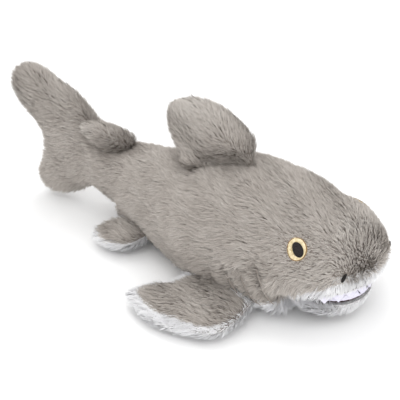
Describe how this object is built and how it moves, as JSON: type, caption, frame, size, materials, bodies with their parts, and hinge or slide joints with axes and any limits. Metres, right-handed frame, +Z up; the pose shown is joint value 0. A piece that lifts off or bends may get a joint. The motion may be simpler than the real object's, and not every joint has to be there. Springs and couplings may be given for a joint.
{
  "type": "plush shark",
  "caption": "Soft stuffed shark with grey plush back, white belly and muzzle, felt teeth, embroidered eyes, and flexible sewn fins, jaw and tail.",
  "frame": {"origin": "centre of the bounding box on the surface the belly lies on", "axes": "+X towards the snout, +Y to the animal's left, +Z up"},
  "size_m": [0.3408, 0.2044, 0.1222],
  "materials": {
    "grey_plush": "long warm-grey plush pile",
    "white_plush": "long white plush pile",
    "felt": "flat pale felt with a cut edge",
    "mouth_cloth": "flat dark red-brown cloth",
    "gold_thread": "satin-stitched gold and cream thread",
    "black_thread": "satin-stitched black thread",
    "sewing_thread": "matt sewing thread",
    "polyester_filling": "loose polyester fibre"
  },
  "bodies": {
    "body": {"back_panel_left": "grey_plush", "back_panel_right": "grey_plush", "belly_panel": "white_plush", "muzzle_panel": "white_plush", "palate_lining": "mouth_cloth", "upper_teeth": "felt", "body_filling": "polyester_filling", "iris_left": "gold_thread", "iris_right": "gold_thread", "pupil_left": "black_thread", "pupil_right": "black_thread", "nostril_left": "black_thread", "nostril_right": "black_thread", "gill_stitches_left": "sewing_thread", "gill_stitches_right": "sewing_thread", "closing_stitches": "sewing_thread"},
    "jaw": {"jaw_panel": "white_plush", "jaw_lining": "mouth_cloth", "lower_teeth": "felt", "jaw_filling": "polyester_filling"},
    "dorsal_fin": {"dorsal_fin_left": "grey_plush", "dorsal_fin_right": "grey_plush", "dorsal_fin_filling": "polyester_filling"},
    "tail": {"tail_panel_left": "grey_plush", "tail_panel_right": "grey_plush", "tail_filling": "polyester_filling"},
    "second_dorsal_fin": {"second_dorsal_left": "grey_plush", "second_dorsal_right": "grey_plush", "second_dorsal_filling": "polyester_filling"},
    "pectoral_fin_left": {"pectoral_left_top": "grey_plush", "pectoral_left_underside": "white_plush", "pectoral_left_filling": "polyester_filling"},
    "pelvic_fin_left": {"pelvic_left_top": "grey_plush", "pelvic_left_underside": "white_plush", "pelvic_left_filling": "polyester_filling"},
    "pectoral_fin_right": {"pectoral_right_top": "grey_plush", "pectoral_right_underside": "white_plush", "pectoral_right_filling": "polyester_filling"},
    "pelvic_fin_right": {"pelvic_right_top": "grey_plush", "pelvic_right_underside": "white_plush", "pelvic_right_filling": "polyester_filling"}
  },
  "joints": [
    {"name": "jaw_open", "type": "hinge", "parent": "body", "child": "jaw", "pos_m": [0.1215, 0, 0.031], "axis": [0, 1, 0], "range_deg": [0, 10], "stiffness_Nm_per_rad": 0.15},
    {"name": "tail_sway", "type": "hinge", "parent": "body", "child": "tail", "pos_m": [-0.059, 0, 0.042], "axis": [0, 0, 1], "range_deg": [-18, 18], "stiffness_Nm_per_rad": 0.3},
    {"name": "dorsal_flop", "type": "hinge", "parent": "body", "child": "dorsal_fin", "pos_m": [0.035, 0, 0.0925], "axis": [0.9903, 0, 0.1392], "range_deg": [-20, 20], "stiffness_Nm_per_rad": 0.12},
    {"name": "second_dorsal_flop", "type": "hinge", "parent": "tail", "child": "second_dorsal_fin", "pos_m": [-0.06399, -0.00686, 0.07], "axis": [0.9877, 0.1564, 0], "range_deg": [-10, 12], "stiffness_Nm_per_rad": 0.04},
    {"name": "pectoral_left_lift", "type": "hinge", "parent": "body", "child": "pectoral_fin_left", "pos_m": [0.074, 0.0545, 0.0135], "axis": [1, 0, 0], "range_deg": [0, 25], "stiffness_Nm_per_rad": 0.12},
    {"name": "pectoral_right_lift", "type": "hinge", "parent": "body", "child": "pectoral_fin_right", "pos_m": [0.074, -0.0545, 0.0135], "axis": [-1, 0, 0], "range_deg": [0, 25], "stiffness_Nm_per_rad": 0.12},
    {"name": "pelvic_left_flop", "type": "hinge", "parent": "body", "child": "pelvic_fin_left", "pos_m": [-0.026, 0.0323, 0.0146], "axis": [0.9744, 0.225, 0], "range_deg": [-6, 14], "stiffness_Nm_per_rad": 0.04},
    {"name": "pelvic_right_flop", "type": "hinge", "parent": "body", "child": "pelvic_fin_right", "pos_m": [-0.026, -0.0323, 0.0146], "axis": [-0.9744, 0.225, 0], "range_deg": [-6, 14], "stiffness_Nm_per_rad": 0.04}
  ]
}
